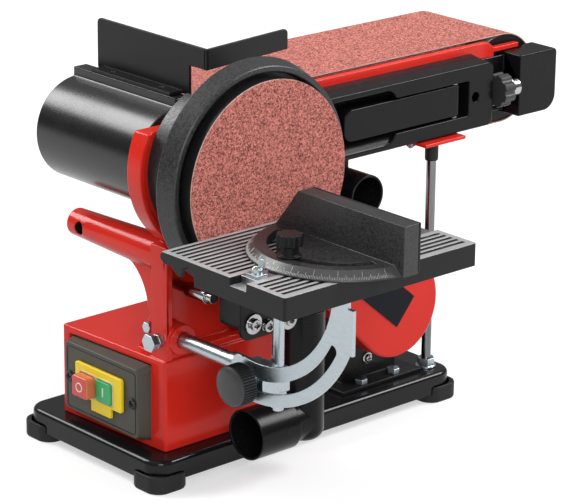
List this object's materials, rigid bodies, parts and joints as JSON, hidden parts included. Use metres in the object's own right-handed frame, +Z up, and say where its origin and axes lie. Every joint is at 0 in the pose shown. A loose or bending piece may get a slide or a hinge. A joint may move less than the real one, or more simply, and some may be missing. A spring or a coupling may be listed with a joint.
{
  "type": "belt and disc sander",
  "caption": "Bench sander with a tilting belt arm and a vertical abrasive disc on one spindle, a tilting table with mitre gauge, and a motor under the arm on a black base tray.",
  "frame": {"origin": "on the bench, in the middle of the machine's bounding box", "axes": "+X along the belt arm, +Y from the disc's working face towards the back, +Z up"},
  "size_m": [0.4826, 0.3732, 0.3355],
  "materials": {
    "red_paint": "glossy red enamel on cast metal",
    "black_paint": "satin black enamel",
    "black_plastic": "fine-grained black moulding",
    "label_black": "blank dark plate",
    "rubber": "matt rubber",
    "yellow_plastic": "yellow moulding",
    "red_plastic": "red push button",
    "green_plastic": "green push button",
    "zinc": "bright zinc plate",
    "steel": "bare turned steel",
    "aluminium": "machined aluminium",
    "abrasive": "red-brown abrasive grain on cloth"
  },
  "bodies": {
    "stand": {"base_tray": "black_paint", "rubber_feet": "rubber", "stand_casting": "red_paint", "switch_box": "red_paint", "rod_lock_bolts": "zinc", "cable_gland": "black_plastic", "switch_plate": "black_plastic", "switch_frame": "yellow_plastic", "switch_screws": "zinc", "motor_plate": "black_paint", "motor_body": "black_paint", "motor_foot": "black_paint", "base_bolts": "zinc", "drive_cover": "red_paint", "label_plate": "label_black", "toothed_belt": "rubber", "spindle_bearings": "steel", "disc_guard": "black_plastic", "dust_chute": "black_plastic", "guard_screws": "zinc", "dust_elbow": "black_plastic", "support_rod": "zinc", "support_nut": "zinc", "support_cap": "rubber", "table_rod": "zinc", "clamp_block": "zinc", "table_post": "zinc"},
    "spindle": {"spindle_shaft": "steel", "disc_plate": "aluminium", "abrasive_disc": "abrasive", "driven_pulley": "steel", "drive_drum": "aluminium"},
    "rotor": {"motor_rotor": "steel", "motor_pulley": "steel"},
    "arm": {"arm_frame": "red_paint", "platen": "steel", "sanding_belt": "abrasive", "drum_guard": "black_plastic", "work_stop": "black_paint", "stop_bolts": "zinc", "side_housing": "black_plastic", "lever_pin": "steel", "end_block": "black_plastic", "idler_axle": "steel", "belt_dust_port": "black_plastic"},
    "idler": {"idler_drum": "aluminium", "idler_bearings": "steel"},
    "tension": {"tension_lever": "black_plastic"},
    "tracking": {"tracking_knob": "zinc"},
    "tilting_table": {"table": "black_paint", "quadrant": "zinc", "hinge_pin": "steel"},
    "table_lock": {"lock_knob": "black_plastic"},
    "mitre_slider": {"mitre_bar": "steel", "mitre_pointer": "zinc"},
    "mitre_swing": {"mitre_head": "black_paint", "mitre_fence": "aluminium"},
    "mitre_lock": {"mitre_knob": "black_plastic"},
    "stop_button": {"red_button": "red_plastic"},
    "start_button": {"green_button": "green_plastic"}
  },
  "joints": [
    {"name": "spindle_spin", "type": "hinge", "parent": "stand", "child": "spindle", "pos_m": [-0.13634, -0.0304, 0.248], "axis": [0, 1, 0], "continuous": true},
    {"name": "rotor_spin", "type": "hinge", "parent": "stand", "child": "rotor", "pos_m": [0.04365, -0.0304, 0.096], "axis": [0, 1, 0], "continuous": true},
    {"name": "arm_tilt", "type": "hinge", "parent": "stand", "child": "arm", "pos_m": [-0.13634, -0.0304, 0.248], "axis": [0, -1, 0], "range_deg": [0, 90]},
    {"name": "idler_spin", "type": "hinge", "parent": "arm", "child": "idler", "pos_m": [0.20334, -0.0304, 0.248], "axis": [0, 1, 0], "continuous": true},
    {"name": "tension_swing", "type": "hinge", "parent": "arm", "child": "tension", "pos_m": [0.12366, 0.0391, 0.248], "axis": [0, 0, 1], "range_deg": [0, 95]},
    {"name": "tracking_turn", "type": "hinge", "parent": "arm", "child": "tracking", "pos_m": [0.16865, 0.0369, 0.248], "axis": [1, 0, 0], "range_deg": [-180, 180]},
    {"name": "table_tilt", "type": "hinge", "parent": "stand", "child": "tilting_table", "pos_m": [-0.15485, -0.0624, 0.204], "axis": [1, 0, 0], "range_deg": [0, 45]},
    {"name": "table_lock_turn", "type": "hinge", "parent": "stand", "child": "table_lock", "pos_m": [-0.17935, -0.0566, 0.10918], "axis": [1, 0, 0], "range_deg": [0, 180]},
    {"name": "mitre_slide", "type": "slide", "parent": "tilting_table", "child": "mitre_slider", "axis": [1, 0, 0], "range_m": [-0.06, 0.06]},
    {"name": "mitre_swivel", "type": "hinge", "parent": "mitre_slider", "child": "mitre_swing", "pos_m": [-0.14435, -0.1161, 0.2167], "axis": [0, 0, 1], "range_deg": [-60, 60]},
    {"name": "mitre_lock_turn", "type": "hinge", "parent": "mitre_slider", "child": "mitre_lock", "pos_m": [-0.19384, -0.1161, 0.2167], "axis": [0, 0, 1], "range_deg": [0, 180]},
    {"name": "stop_press", "type": "slide", "parent": "stand", "child": "stop_button", "axis": [1, 0, 0], "range_m": [0, 0.003], "stiffness_N_per_m": 600, "springref_m": -0.002},
    {"name": "start_press", "type": "slide", "parent": "stand", "child": "start_button", "axis": [1, 0, 0], "range_m": [0, 0.0015], "stiffness_N_per_m": 600, "springref_m": -0.002}
  ],
  "couplings": [
    {"joint": "rotor_spin", "follows": "spindle_spin", "ratio": 1.1},
    {"joint": "idler_spin", "follows": "spindle_spin", "ratio": 1}
  ]
}
